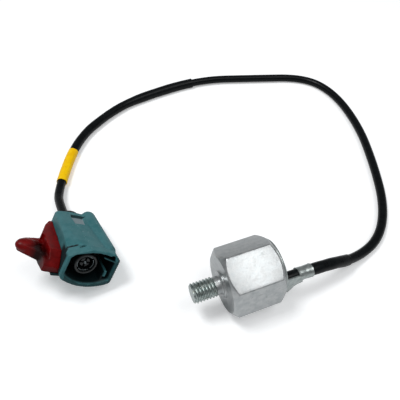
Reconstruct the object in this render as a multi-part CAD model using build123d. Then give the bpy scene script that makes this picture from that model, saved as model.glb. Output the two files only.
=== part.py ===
from build123d import *
import math
import os

# Engine knock sensor: a plated hexagonal body with a mounting stud, a cable clamped
# to its rear cover, and a sealed plug connector on the end of the cable.
# Millimetres, +Z up, the table is z = 0. The sensor's own axis runs along X with the
# stud towards -X. It lies on one edge of its hexagon, rolled by the cable's stiffness.

# Driving dimensions of the sensor body
across_flats = 24.0
body_length = 21.3
body_x = -1.4                # hexagon's middle, with the cable's side to the right
body_roll = 24.3             # turn of the hexagon about its axis, from resting on a flat
chamfer_circle = 22.8        # diameter left on each end face
chamfer_angle = 39.0         # slope of the end chamfers from the end face
stud_diameter = 8.0
stud_length = 12.0
stud_tip_chamfer = 0.6
collar_diameter = 10.4
collar_height = 0.7

# Driving dimensions of the sensing stack inside the body
chamber_diameter = 16.8
chamber_depth = 15.5
base_bore_diameter = 18.0
base_bore_depth = 9.6
seat_ring_width = 1.2
seat_ring_height = 1.0
plate_thickness = 0.5
disc_diameter = 11.0
disc_thickness = 0.6
base_thickness = 3.2
pin_diameter = 1.6
pin_head_diameter = 2.8
pin_head_height = 0.6
pin_rear_length = 1.2
seal_ring_thickness = 1.5
resistor_diameter = 2.2
resistor_length = 5.6
lead_diameter = 0.6
potting_gap = 1.1            # free depth between the potting and the body's rear face

# Driving dimensions of the rear cover with its strap and cable clamp
sheet_thickness = 0.6
cover_diameter = 22.6
spigot_height = 1.0
strap_turn = -32.0           # turn of the strap from the hexagon's near corner
wire_out = 5.5               # wire's distance from the sensor's axis, towards the strap
wire_down = 2.6              # and across the strap
strap_length = 7.1           # free length between the cover and the clamp
strap_top = 2.6              # strap's upper edge above the wire
strap_root_down = 5.0        # strap's lower edge below the wire at the cover
strap_neck_down = 2.2        # and at the clamp
clamp_length = 6.2
clamp_seam = 0.5
grommet_diameter = 4.0
grommet_flange = 4.1
grommet_flange_height = 0.8

# Driving dimensions of the cable and what is on it
wire_diameter = 2.8
core_diameter = 1.0
cable_diameter = 4.0
clamp_sleeve_diameter = 4.8
clamp_sleeve_length = 35.0
plug_sleeve_diameter = 4.5
plug_sleeve_start = 245.5    # cable length before the second sleeve
tape_thickness = 0.25
tape_start = 332.0           # cable length before the tape band
tape_length = 21.5

# Driving dimensions of the plug connector, measured from its open front rim
plug_length = 31.2
plug_width = 20.3
plug_height = 11.6
plug_top_bulge = 1.8         # rise of the rounded top at the front
plug_bottom_bulge = 3.0      # drop of the rounded bottom at the front
plug_rear_width = 17.2
plug_rear_height = 9.4
plug_rear_bulge = 0.7
plug_corner = 1.6
rim_band_length = 3.4
rim_band_height = 0.45
hood_wall = 1.2
hood_lock_wall = 1.5         # thicker wall on the lock's side
hood_depth = 13.0
contact_offset = 1.6         # contact axis, off the plug's middle towards its lock
carrier_diameter = 9.2
carrier_bore = 7.2
carrier_recess = 1.8         # depth of the carrier's nose behind the rim
carrier_rear = 24.2
shell_diameter = 6.8
shell_wall = 0.4
shell_recess = 2.6
shell_slot = 0.7
dielectric_diameter = 4.0
contact_diameter = 1.3
contact_recess = 3.4
seal_thickness = 1.2
rear_seal_length = 4.0
rear_cap_diameter = 11.0
rear_cap_height = 1.4
rear_cap_skirt = 2.0
rail_diameter = 6.4
rail_rise = 2.9              # rail's top above the body's, at the rear
rail_front_rise = 2.0        # and at the rim
rail_overhang = 1.6          # rail's rear end behind the body
key_rib_height = 5.4
key_rib_width = 1.0
lock_top = 0.5               # lock's upper face, above the plug's middle
lock_height = 7.5
lock_step = 2.9              # drop from the upper face to the tongue
lock_key_length = 3.4
lock_key_height = 2.4
lock_ledge = 0.9             # thickness of the plug's ledge under the lock

# Named clearances
slip = 0.05                  # round pieces that are pushed into one another
seat_gap = 0.1               # moulded pieces beside one another
lift = 0.05                  # least height of the plug above the table

# Places worked out from the sizes
corner_radius = across_flats / math.sqrt(3)
front_x = -body_length / 2
rear_x = body_length / 2
roll = math.radians(body_roll)
axis_height = across_flats / 2 * math.cos(roll) + corner_radius / 2 * math.sin(roll)
clamp_start = rear_x + sheet_thickness + strap_length
clamp_end = clamp_start + clamp_length
tip_x = front_x - stud_length
cover_roll = math.radians(body_roll + strap_turn)
wire_y = wire_down * math.sin(cover_roll) - wire_out * math.cos(cover_roll)
wire_z = axis_height - wire_down * math.cos(cover_roll) - wire_out * math.sin(cover_roll)
chamber_floor = rear_x - chamber_depth
base_seat = rear_x - base_bore_depth
base_rear = base_seat + base_thickness
potting_rear = rear_x - potting_gap
plate_front = chamber_floor + seat_ring_height
disc_front = plate_front + plate_thickness
disc_rear = disc_front + disc_thickness
cover_rear = rear_x + sheet_thickness
cable_start = cover_rear + grommet_flange_height
clamp_radius = clamp_sleeve_diameter / 2 + sheet_thickness
contact_y = -contact_offset
hood_shift = (hood_lock_wall - hood_wall) / 2
hood_width = plug_width - hood_wall - hood_lock_wall
key_rib_y = hood_shift + hood_width / 2 - 2.2
key_rib_top = -plug_height / 2 + 3.4
lock_key_x = -18.0
lock_key_z = lock_top - lock_key_height / 2 - 0.4
lock_key_bite = 1.0

# Route of the cable, chosen to follow the loop that it makes on the table
route = [
    (body_x + cable_start, wire_y, wire_z),
    (29.0, wire_y, wire_z),
    (47.0, -3.5, 2.6),
    (63.0, 2.0, 2.1),
    (76.0, 17.5, 2.1),
    (86.5, 40.0, 2.1),
    (97.0, 68.5, 2.1),
    (100.0, 98.0, 2.1),
    (91.5, 117.0, 2.1),
    (63.0, 127.5, 2.35),
    (32.5, 137.0, 2.45),
    (-5.5, 134.0, 2.45),
    (-25.0, 126.5, 2.65),
    (-41.5, 113.5, 2.7),
    (-62.2, 82.8, 2.8),
    (-59.1, 47.3, 11.0),
]
plug_roll = 36.0             # turn of the plug about its own axis


def arc_radii(points):
    """Give each corner of a route the largest arc that its two runs allow."""
    radii = []
    for before, here, after in zip(points, points[1:], points[2:]):
        run_in = Vector(*here) - Vector(*before)
        run_out = Vector(*after) - Vector(*here)
        half_turn = math.radians(run_in.get_angle(run_out)) / 2
        shorter = min(run_in.length, run_out.length)
        radii.append(0.45 * shorter / math.tan(half_turn))
    return radii


route_radii = arc_radii(route)
route_line = FilletPolyline(*route, radius=route_radii)
route_wire = Wire(route_line.edges())

# The plug sits on the last run of the cable and looks along it
mating = (Vector(*route[-1]) - Vector(*route[-2])).normalized()
level_side = Vector(0, 0, 1).cross(mating).normalized()
upright = mating.cross(level_side)
turn = math.radians(plug_roll)
plug_top = upright * math.cos(turn) + level_side * math.sin(turn)
plug_side = plug_top.cross(mating)
cable_end = Vector(*route[-1])
rim_centre = cable_end + mating * carrier_rear - plug_side * contact_y
plug_plane = Plane(origin=rim_centre, x_dir=mating, z_dir=plug_top)


def spin(profile):
    """Turn a profile given as (x, radius) pairs about the sensor's axis."""
    face = make_face(Polyline(*[(x, r, 0) for x, r in profile], close=True))
    return revolve(face, axis=Axis.X)


def place_sensor(shape):
    """Move a piece from the hexagon's own frame to its place."""
    return Location((body_x, 0, axis_height), (body_roll, 0, 0)) * shape


def place_cover(shape):
    """Move a piece from the cover's frame, whose strap stands at -Y, to its place."""
    return Location((body_x, 0, axis_height), (body_roll + strap_turn, 0, 0)) * shape


def place_plug(shape):
    """Move a piece from the plug's frame, whose rim is at X = 0, to its place."""
    return plug_plane.location * shape


def rod(diameter, start, end, y=0.0, z=0.0):
    """Round rod along X between two stations."""
    place = Plane(origin=(start, y, z), x_dir=(0, 1, 0), z_dir=(1, 0, 0))
    return extrude(place * Circle(diameter / 2), amount=end - start)


def tube_on_route(outer, inner, start, end):
    """Round sleeve along a stretch of the cable's route, given by cable lengths."""
    whole = route_wire.length
    stretch = route_wire.trim(start / whole, end / whole)
    place = Plane(origin=stretch @ 0, z_dir=stretch % 0)
    section = place * Circle(outer / 2)
    if inner:
        section -= place * Circle(inner / 2)
    return sweep(section, path=stretch)


def prism(plan, base, height):
    """Upright block over a plan in the plug's frame."""
    return extrude(Plane(origin=(0, 0, base)) * plan, amount=height)


def sensor_housing():
    """Hexagonal body and stud, turned and bored from one bar."""
    place = Plane(origin=(front_x, 0, 0), x_dir=(0, 1, 0), z_dir=(1, 0, 0))
    prism = extrude(place * RegularPolygon(corner_radius, 6), amount=body_length)
    circle = chamfer_circle / 2
    reach = corner_radius + 1
    depth = (reach - circle) * math.tan(math.radians(chamfer_angle))
    body = prism & spin([
        (front_x, 0), (front_x, circle), (front_x + depth, reach),
        (rear_x - depth, reach), (rear_x, circle), (rear_x, 0),
    ])
    stud = stud_diameter / 2
    collar = collar_diameter / 2
    body += spin([
        (tip_x, 0), (tip_x, stud - stud_tip_chamfer), (tip_x + stud_tip_chamfer, stud),
        (front_x - collar_height, stud), (front_x - collar_height, collar - 0.3),
        (front_x - collar_height + 0.3, collar), (front_x, collar), (front_x + 1, 0),
    ])
    chamber = chamber_diameter / 2
    bore = base_bore_diameter / 2
    body -= spin([
        (chamber_floor, 0), (chamber_floor, chamber), (base_seat, chamber),
        (base_seat, bore), (rear_x, bore), (rear_x, 0),
    ])
    ring_inner = chamber - seat_ring_width
    body += spin([
        (chamber_floor - 0.2, ring_inner), (chamber_floor - 0.2, chamber + 0.2),
        (plate_front, chamber + 0.2), (plate_front, ring_inner),
    ])
    return place_sensor(body)


def vibration_plate():
    """Thin steel plate that rings with the engine's knock."""
    edge = chamber_diameter / 2 - slip
    return place_sensor(rod(edge * 2, plate_front, disc_front))


def piezo_disc():
    """Ceramic disc bonded to the vibration plate."""
    return place_sensor(rod(disc_diameter, disc_front, disc_rear))


def terminal_base():
    """Insulating base with a groove for its seal and a hole for the pin."""
    bore = base_bore_diameter / 2 - slip
    groove = bore - seal_ring_thickness
    margin = (base_thickness - seal_ring_thickness) / 2
    groove_start = base_seat + margin
    groove_end = base_rear - margin
    base = spin([
        (base_seat, 0), (base_seat, bore), (groove_start, bore), (groove_start, groove),
        (groove_end, groove), (groove_end, bore), (base_rear, bore), (base_rear, 0),
    ])
    base -= rod(pin_diameter, base_seat - 1, base_rear + 1)
    return place_sensor(base)


def seal_ring():
    """Rubber ring in the base's groove, against the body's bore."""
    radius = seal_ring_thickness / 2 - slip / 2
    centre = base_bore_diameter / 2 - slip - seal_ring_thickness / 2
    ring = Plane(origin=(base_seat + base_thickness / 2, 0, 0), z_dir=(1, 0, 0)) * Torus(centre, radius)
    return place_sensor(ring)


def terminal_pin():
    """Headed pin that carries the signal through the base."""
    pin = rod(pin_diameter, base_seat - 0.8, base_rear + pin_rear_length)
    pin += rod(pin_head_diameter, base_rear, base_rear + pin_head_height)
    return place_sensor(pin)


def contact_lead():
    """Bent lead from the ceramic disc to the pin."""
    start = disc_rear
    end = base_seat - 0.8
    reach = (end - start) * 0.45
    mid = (start + end) / 2
    line = FilletPolyline(
        (start, 0, 0), (mid - 0.2, reach, 0), (mid + 0.2, -reach, 0), (end, 0, 0), radius=0.7)
    place = Plane(origin=line @ 0, z_dir=line % 0)
    lead = sweep(place * Circle(lead_diameter / 2), path=line)
    trim_start = rod(8, start - 2, start + 0.02)
    trim_end = rod(8, end - 0.02, end + 2)
    return place_sensor(lead - trim_start - trim_end)


def load_resistor():
    """Small resistor across the terminals, lying on the base."""
    level = base_rear + resistor_diameter / 2
    place = Plane(origin=(level, 0, 4.4), z_dir=(0, 1, 0))
    body = place * Cylinder(resistor_diameter / 2, resistor_length)
    body += place * Cylinder(lead_diameter / 2, resistor_length + 2.4)
    return place_sensor(body)


def wire_shape():
    """Insulated wire out of the cover, with its bare core bent to the pin."""
    bare_end = base_rear + pin_head_height + 0.3
    straight = rod(wire_diameter, bare_end + 1.0, cable_start, y=-wire_out, z=-wire_down)
    line = FilletPolyline(
        (bare_end + 1.2, -wire_out, -wire_down), (bare_end, -wire_out, -wire_down),
        (bare_end, 0, 0), radius=0.6)
    place = Plane(origin=line @ 0, z_dir=line % 0)
    core = sweep(place * Circle(core_diameter / 2 * 0.6), path=line)
    return straight + core


def signal_wire():
    """The wire at its place."""
    pin = rod(pin_diameter + 2 * slip, base_seat - 2, base_rear + 3)
    return place_cover(wire_shape() - pin)


def potting():
    """Sealing resin poured over the base, around the wire and the resistor."""
    fill = place_sensor(rod(base_bore_diameter - 2 * slip, base_rear, potting_rear))
    for piece in (terminal_pin(), load_resistor(), signal_wire()):
        fill -= piece
    return fill


def rear_cover():
    """Sheet cover, strap and cable clamp, folded from one blank."""
    edge = cover_diameter / 2
    spigot = base_bore_diameter / 2 - slip
    cover = spin([
        (rear_x, 0), (rear_x, spigot - sheet_thickness),
        (rear_x - spigot_height, spigot - sheet_thickness),
        (rear_x - spigot_height, spigot), (rear_x, spigot),
        (rear_x, edge), (cover_rear, edge), (cover_rear, 0),
    ])
    half = sheet_thickness / 2
    mid = rear_x + half
    strap_y = half - wire_out - clamp_radius
    line = FilletPolyline(
        (mid, strap_y + 3), (mid, strap_y), (clamp_start + 1, strap_y), radius=0.9)
    band = extrude(trace(line, sheet_thickness), amount=edge, both=True)
    top = strap_top - wire_down
    root = -strap_root_down - wire_down
    neck = -strap_neck_down - wire_down
    outline = Polyline(
        (rear_x - 1, top), (clamp_start - 1, top), (clamp_start + 1, top - 1.6),
        (clamp_start + 1, neck), (clamp_start - 1, neck), (clamp_start - 2.4, neck - 0.6),
        (clamp_start - 4.4, root), (rear_x - 1, root), close=True)
    blank = extrude(Plane.XZ * make_face(outline), amount=edge + 5, both=True)
    cover += band & blank
    cover += rod(clamp_radius * 2, clamp_start, clamp_end, y=-wire_out, z=-wire_down)
    cover -= rod(clamp_sleeve_diameter, clamp_start - 0.5, clamp_end + 1, y=-wire_out, z=-wire_down)
    cover -= rod(grommet_diameter, rear_x - 2, cover_rear + 1, y=-wire_out, z=-wire_down)
    seam = Box(clamp_length + 2, clamp_radius * 1.5, clamp_seam)
    seam_y = -wire_out + clamp_radius * 1.15
    cover -= Pos((clamp_start + clamp_end) / 2, seam_y, -wire_down) * seam
    return place_cover(cover)


def wire_grommet():
    """Rubber bush that seals the wire in the cover."""
    neck = grommet_diameter - 2 * slip
    bush = rod(neck, potting_rear, cover_rear + grommet_flange_height, y=-wire_out, z=-wire_down)
    bush += rod(grommet_flange, cover_rear, cover_rear + grommet_flange_height, y=-wire_out, z=-wire_down)
    bush -= rod(wire_diameter, rear_x - 5, rear_x + 5, y=-wire_out, z=-wire_down)
    return place_cover(bush)


def cable():
    """Main cable from the clamp to the contact carrier."""
    return tube_on_route(cable_diameter, 0, 0, route_wire.length)


def clamp_sleeve():
    """Thick sleeve that the clamp grips."""
    return tube_on_route(clamp_sleeve_diameter, cable_diameter, 0, clamp_sleeve_length)


def plug_sleeve():
    """Thin sleeve over the last stretch of the cable, into the plug."""
    end = route_wire.length - (plug_length - carrier_rear)
    return tube_on_route(plug_sleeve_diameter, cable_diameter, plug_sleeve_start, end)


def tape_band():
    """Coloured tape wound round the sleeve."""
    outer = plug_sleeve_diameter + 2 * tape_thickness
    return tube_on_route(outer, plug_sleeve_diameter, tape_start, tape_start + tape_length)


def plug_section(x, width, height, rise, drop, corner):
    """Section of the plug: flat sides, and a top and bottom that bow outwards."""
    side = width / 2
    level = height / 2
    outline = [
        Line((-side, -level), (-side, level)),
        ThreePointArc((-side, level), (0, level + rise), (side, level)),
        Line((side, level), (side, -level)),
        ThreePointArc((side, -level), (0, -level - drop), (-side, -level)),
    ]
    face = make_face(outline)
    face = fillet(face.vertices(), corner)
    return Plane(origin=(x, 0, 0), x_dir=(0, 1, 0), z_dir=(1, 0, 0)) * face


def plug_body_at(share, grow):
    """Section sizes of the tapered body at a share of its length from the rear."""
    width = plug_rear_width + (plug_width - plug_rear_width) * share + 2 * grow
    height = plug_rear_height + (plug_height - plug_rear_height) * share + 2 * grow
    rise = plug_rear_bulge + (plug_top_bulge - plug_rear_bulge) * share
    drop = plug_rear_bulge + (plug_bottom_bulge - plug_rear_bulge) * share
    return width, height, rise, drop


def plug_outer(grow=0.0):
    """Tapered outer body of the plug, without its hollows."""
    rear = plug_section(-plug_length, *plug_body_at(0, grow), plug_corner)
    front = plug_section(0, *plug_body_at(1, grow), plug_corner)
    return loft([rear, front], ruled=True)


def rail():
    """Rounded rail along the top's right edge, with a domed rear end."""
    radius = rail_diameter / 2
    rear = Vector(
        -plug_length - rail_overhang + radius, plug_rear_width / 2 - radius + 0.2,
        plug_rear_height / 2 + rail_rise - radius)
    front = Vector(
        -rim_band_length, plug_width / 2 - radius, plug_height / 2 + rail_front_rise - radius)
    along = front - rear
    place = Plane(origin=rear, z_dir=along)
    return extrude(place * Circle(radius), amount=along.length) + Pos(*rear) * Sphere(radius)


def plug_housing():
    """Moulded plug: hood, rim band, rail, carrier bore, side slot and pocket."""
    body = plug_outer() + rail()
    band = extrude(
        plug_section(-rim_band_length, *plug_body_at(0.97, rim_band_height), plug_corner + 0.4),
        amount=rim_band_length)
    body += band
    notch = Box(1.1, 6.5, 1.6)
    body -= Pos(-rim_band_length - 0.5, 3.4 - plug_width / 2, plug_height / 2 + 0.9) * notch
    inner_height = plug_height - 2 * hood_wall
    bows = plug_top_bulge, plug_bottom_bulge
    mouth = plug_section(0.01, hood_width, inner_height, *bows, plug_corner)
    floor = plug_section(-hood_depth, hood_width - 1.2, inner_height - 1.2, *bows, plug_corner)
    cavity = Pos(0, hood_shift, 0) * loft([floor, mouth], ruled=True)
    body -= cavity
    rib_base = key_rib_top - key_rib_height
    rib = Box(hood_depth - 1.5, key_rib_width, key_rib_height)
    body += Pos(-hood_depth / 2 - 0.75, key_rib_y, rib_base + key_rib_height / 2) * rib
    body -= rod(carrier_diameter + 2 * slip, -plug_length - 1, -hood_depth + 1, y=contact_y)
    pocket = Box(2.6, 5.4, 1.2)
    body -= Pos(-plug_length + 5.2, -0.6, plug_rear_height / 2 + plug_rear_bulge + 0.15) * pocket
    slot = Box(lock_key_length + 2 * seat_gap, plug_width, lock_key_height + 2 * seat_gap)
    body -= Pos(lock_key_x, contact_y - plug_width / 2, lock_key_z) * slot
    ledge_level = lock_top - lock_height - lock_ledge / 2
    ledge = make_face(Polyline(
        (-rim_band_length, -5), (-rim_band_length, -12.6), (-19.0, -12.6), (-27.0, -9.6),
        (-27.0, -5), close=True))
    body += prism(ledge, ledge_level - lock_ledge / 2, lock_ledge) - cavity
    return place_plug(body)


def contact_carrier():
    """Black insulating carrier with a round nose in the hood."""
    y = contact_y
    carrier = rod(carrier_diameter, -carrier_rear, -carrier_recess, y=y)
    carrier = chamfer(carrier.edges().group_by(Axis.X)[-1], 0.4)
    carrier -= rod(carrier_bore, -hood_depth - 1, -carrier_recess + 1, y=y)
    carrier -= rod(contact_diameter, -carrier_rear - 1, 0, y=y)
    slot = Box(lock_key_length + 2 * seat_gap, 4, lock_key_height + 2 * seat_gap)
    carrier -= Pos(lock_key_x, y - carrier_diameter / 2 - 2 + lock_key_bite, lock_key_z) * slot
    return place_plug(carrier)


def contact_shell():
    """Slotted outer contact, a sprung sleeve."""
    y = contact_y
    start = -hood_depth - 1
    shell = rod(shell_diameter, start, -shell_recess, y=y)
    shell -= rod(shell_diameter - 2 * shell_wall, start + 0.6, 0, y=y)
    shell -= rod(dielectric_diameter, start - 1, start + 1, y=y)
    for angle in (45, 135):
        slot = Box(7.0, shell_diameter + 2, shell_slot)
        shell -= Pos(-shell_recess - 2.5, y, 0) * Rot(angle, 0, 0) * slot
    return place_plug(shell)


def contact_insulator():
    """Insulator between the outer and the centre contact, with four flutes."""
    y = contact_y
    start = -hood_depth - 1
    body = rod(dielectric_diameter, start, -contact_recess, y=y)
    body -= rod(contact_diameter, start - 1, 0, y=y)
    for angle in (0, 90):
        flute = Box(3.0, dielectric_diameter + 1, 0.7)
        body -= Pos(-contact_recess, y, 0) * Rot(angle, 0, 0) * flute
    return place_plug(body)


def centre_contact():
    """Centre contact with a rounded nose."""
    pin = rod(contact_diameter, -carrier_rear, -contact_recess + 0.6, y=contact_y)
    pin = chamfer(pin.edges().group_by(Axis.X)[-1], 0.3)
    return place_plug(pin)


def hood_seal():
    """Flat rubber seal on the hood's floor, round the carrier."""
    inner_width = hood_width - 1.2 - 2 * seat_gap
    inner_height = plug_height - 2 * hood_wall - 1.2 - 2 * seat_gap
    bows = plug_top_bulge, plug_bottom_bulge
    face = plug_section(-hood_depth, inner_width, inner_height, *bows, plug_corner)
    seal = Pos(0, hood_shift, 0) * extrude(face, amount=seal_thickness)
    seal -= rod(carrier_diameter + 2 * slip, -hood_depth - 1, 0, y=contact_y)
    rib = Box(4, key_rib_width + 2 * seat_gap, key_rib_height + 2)
    seal -= Pos(-hood_depth, key_rib_y, key_rib_top - key_rib_height / 2 - 0.9) * rib
    return place_plug(seal)


def rear_seal():
    """Ribbed rubber seal between the sleeve and the plug's bore."""
    bore = carrier_diameter / 2
    inner = plug_sleeve_diameter / 2
    start = -plug_length + rear_cap_skirt
    end = start + rear_seal_length
    rib = rear_seal_length / 4
    profile = [(start, inner)]
    for index in range(2):
        base = start + index * 2 * rib
        profile += [(base, bore - 0.5), (base + rib * 0.5, bore), (base + rib * 1.5, bore)]
    profile += [(end, bore - 0.5), (end, inner)]
    return place_plug(Pos(0, contact_y, 0) * spin(profile))


def rear_cap():
    """Cap that holds the rear seal in the plug."""
    y = contact_y
    cap = rod(rear_cap_diameter, -plug_length - rear_cap_height, -plug_length, y=y)
    cap = chamfer(cap.edges().group_by(Axis.X)[0], 0.5)
    cap += rod(carrier_diameter, -plug_length, -plug_length + rear_cap_skirt, y=y)
    cap -= rod(plug_sleeve_diameter + 2 * slip, -plug_length - 3, -plug_length + 3, y=y)
    return place_plug(cap)


def lock_bar():
    """Plan of the lock's bar along the plug's side, with its rear lobe and its foot."""
    return [
        (-29.6, -6.0), (-29.4, -10.3), (-26.0, -12.6), (-22.0, -14.2), (-18.7, -15.6),
        (-15.2, -17.0), (-9.0, -16.8), (-4.4, -16.2), (-4.0, -14.6), (-4.0, -6.0),
    ]


def lock_tongue():
    """Plan of the lock's tongue, which tapers to a round tip."""
    return [
        (-19.8, -15.0), (-19.4, -18.0), (-18.7, -21.2), (-17.2, -23.9), (-14.6, -24.0),
        (-12.2, -20.8), (-9.6, -17.2), (-9.0, -15.0),
    ]


def side_lock():
    """Red lock on the plug's side, with a tongue and a key into the carrier."""
    base = lock_top - lock_height
    bar = prism(make_face(Polyline(*lock_bar(), close=True)), base, lock_height)
    tip = make_face(Polyline(*lock_tongue(), close=True))
    tip = fillet(tip.vertices().sort_by(Axis.Y)[:2], 1.05)
    step = Pos(-8.0, -20.0, lock_top) * Box(24.0, 11.0, 2 * lock_step)
    lock = bar - step + prism(tip, base + 0.8, lock_height - lock_step - 0.8)
    lock += bar & (Pos(-27.4, -16.0, lock_top - lock_step) * Box(18.0, 20.0, 2 * lock_step))
    slope = make_face(Polyline((-8.5, 2), (-8.5, lock_top), (-3.0, base + 1.6), (-3.0, 2), close=True))
    lock -= extrude(Plane.XZ * slope, amount=20, both=True)
    lock -= Pos(-11.0, -15.2, lock_top - lock_step) * Cylinder(0.8, 2.4)
    lock -= plug_outer(seat_gap)
    key_reach = contact_y - carrier_diameter / 2 + lock_key_bite - seat_gap
    key_end = -plug_width / 2
    key = Box(lock_key_length, key_reach - key_end, lock_key_height)
    lock += Pos(lock_key_x, (key_end + key_reach) / 2, lock_key_z) * key
    return place_plug(lock)


pieces = {
    "sensor_housing": sensor_housing(),
    "vibration_plate": vibration_plate(),
    "piezo_disc": piezo_disc(),
    "contact_lead": contact_lead(),
    "terminal_base": terminal_base(),
    "terminal_pin": terminal_pin(),
    "base_seal_ring": seal_ring(),
    "load_resistor": load_resistor(),
    "potting": potting(),
    "rear_cover": rear_cover(),
    "wire_grommet": wire_grommet(),
    "signal_wire": signal_wire(),
    "cable": cable(),
    "clamp_sleeve": clamp_sleeve(),
    "plug_sleeve": plug_sleeve(),
    "tape_band": tape_band(),
    "plug_housing": plug_housing(),
    "contact_carrier": contact_carrier(),
    "contact_shell": contact_shell(),
    "contact_insulator": contact_insulator(),
    "centre_contact": centre_contact(),
    "hood_seal": hood_seal(),
    "rear_seal": rear_seal(),
    "rear_cap": rear_cap(),
    "side_lock": side_lock(),
}

os.makedirs("parts", exist_ok=True)
for name, shape in pieces.items():
    export_step(shape, f"parts/{name}.step")

print("cable arcs", [round(radius, 1) for radius in route_radii])
print("cable length", round(route_wire.length, 1))
print("plug low point", round(pieces["plug_housing"].bounding_box().min.Z, 2))
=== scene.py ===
# %% [markdown]
# # Engine knock sensor
# A knock sensor is a plated hexagonal body on a mounting stud, with a ceramic disc
# inside, a cable clamped to its rear cover, and a sealed plug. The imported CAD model
# gives every place and size here. This notebook dresses it: cable first, then the
# finishes, then piece by piece from the stud to the plug.

# %% Load the frame
import math

import bmesh
import bpy
from mathutils import Matrix, Vector


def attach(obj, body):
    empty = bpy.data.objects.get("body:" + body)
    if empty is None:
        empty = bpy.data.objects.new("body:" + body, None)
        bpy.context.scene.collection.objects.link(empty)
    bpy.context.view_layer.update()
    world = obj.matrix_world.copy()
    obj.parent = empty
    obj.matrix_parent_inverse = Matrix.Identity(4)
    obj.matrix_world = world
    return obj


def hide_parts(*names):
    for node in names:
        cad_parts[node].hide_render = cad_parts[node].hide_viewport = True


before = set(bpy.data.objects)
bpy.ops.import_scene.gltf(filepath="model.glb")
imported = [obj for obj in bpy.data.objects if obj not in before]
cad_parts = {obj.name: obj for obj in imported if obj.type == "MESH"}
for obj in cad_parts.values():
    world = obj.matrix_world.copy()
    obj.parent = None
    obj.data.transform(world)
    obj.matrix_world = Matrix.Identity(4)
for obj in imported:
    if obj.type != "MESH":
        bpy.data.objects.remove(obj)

scene = bpy.context.scene
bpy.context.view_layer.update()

# %% [markdown]
# ## The camera
# It stands where the photographer stood, worked out from the hexagon's corners, the
# stud's tip and the cable's width. The lens is close to a normal one, so near and far
# ends keep the sizes that the eye expects.

# %% Camera
look_turn = math.atan2(0.371, 0.9286)
look_down = math.radians(49.01)
look_roll = math.radians(0.11)
camera_place = (-0.05605, -0.0882, 0.1747)
camera_data = bpy.data.cameras.new("camera")
camera_data.sensor_width = 36.0
camera_data.lens = 44.69
camera_data.clip_start = 0.01
camera = bpy.data.objects.new("camera", camera_data)
camera.matrix_world = (
    Matrix.Translation(camera_place)
    @ Matrix.Rotation(-look_turn, 4, "Z")
    @ Matrix.Rotation(math.pi / 2 - look_down, 4, "X")
    @ Matrix.Rotation(look_roll, 4, "Z")
)
scene.collection.objects.link(camera)
scene.camera = camera
print("camera lens", camera_data.lens)

# %% [markdown]
# ## The cable's line
# A rubber cable is one smooth springy curve, so it is a NURBS spline whose control
# points are the corners of the route. Order and end points are set after the points
# are there. It leaves the rear cover level, falls to the table, makes a wide loop and
# climbs a little into the plug.

# %% Cable
MM = 0.001
cable_route = [
    (10.65, -5.799, 11.948), (29.0, -5.799, 11.948), (47.8, -3.4, 2.6), (63.5, 2.0, 2.1),
    (76.5, 17.0, 2.1), (87.0, 40.0, 2.1), (97.0, 68.5, 2.1), (100.0, 98.0, 2.1),
    (91.5, 117.0, 2.1), (63.0, 127.0, 2.35), (33.0, 137.3, 2.45), (-6.0, 133.5, 2.45),
    (-23.5, 126.5, 2.65), (-44.0, 112.0, 2.7), (-60.2, 80.0, 2.8), (-61.0, 66.0, 6.6),
    (-59.1, 47.3, 11.0),
]
cable_radius = 2.0
cable_length = 392.6
cable_data = bpy.data.curves.new("cable_jacket", "CURVE")
cable_data.dimensions = "3D"
cable_data.resolution_u = 24
cable_spline = cable_data.splines.new("NURBS")
cable_spline.points.add(len(cable_route) - 1)
for point, place in zip(cable_spline.points, cable_route):
    point.co = (*(Vector(place) * MM), 1.0)
cable_spline.order_u = 3
cable_spline.use_endpoint_u = True
cable_jacket = bpy.data.objects.new("cable_jacket", cable_data)
scene.collection.objects.link(cable_jacket)

line_mesh = bpy.data.meshes.new_from_object(cable_jacket)
cable_line = [v.co / MM for v in line_mesh.vertices]
cable_data.bevel_depth = cable_radius * MM
cable_data.bevel_resolution = 7
cable_data.use_fill_caps = True
line_lengths = [0.0]
for before, after in zip(cable_line, cable_line[1:]):
    line_lengths.append(line_lengths[-1] + (after - before).length)
line_end = line_lengths[-1]
print("cable line", round(line_end, 1), "mm in", len(cable_line), "points")

# %% [markdown]
# ## Places along the cable and on the two ends
# Sleeves, tape and clamp sit on the cable, so each needs the frame at a length along
# it: where it is, which way it runs, and what is up. The sensor's pieces are modelled
# about its own axis and the plug's in its own frame with the open rim at X = 0. The
# plug points along the last run of the CAD's route, from cable_lead to the cable's end.

# %% Frames
def frame_matrix(origin, side, up, along):
    """Matrix that takes local X, Y, Z to side, up, along."""
    columns = Matrix((side, up, along)).transposed().to_4x4()
    return Matrix.Translation(origin) @ columns


def along_cable(length):
    """Frame on the cable at a length in mm, its Z along the cable and its Y upwards."""
    length = min(max(length, 0.0), line_end - 1e-6)
    index = max(i for i, total in enumerate(line_lengths[:-1]) if total <= length)
    step = cable_line[index + 1] - cable_line[index]
    share = (length - line_lengths[index]) / step.length
    before = cable_line[max(index - 1, 0)]
    after = cable_line[min(index + 2, len(cable_line) - 1)]
    direction = (after - before).normalized()
    side = Vector((0, 0, 1)).cross(direction).normalized()
    return frame_matrix(cable_line[index] + step * share, side, direction.cross(side), direction)


body_x, axis_height = -1.4, 13.788
body_roll, strap_turn = 24.3, -32.0


def about_axis(roll):
    """Place of a piece of the sensor, rolled about its axis by an angle in degrees."""
    return (Matrix.Translation((body_x, 0, axis_height))
            @ Matrix.Rotation(math.radians(roll), 4, "X"))


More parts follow.
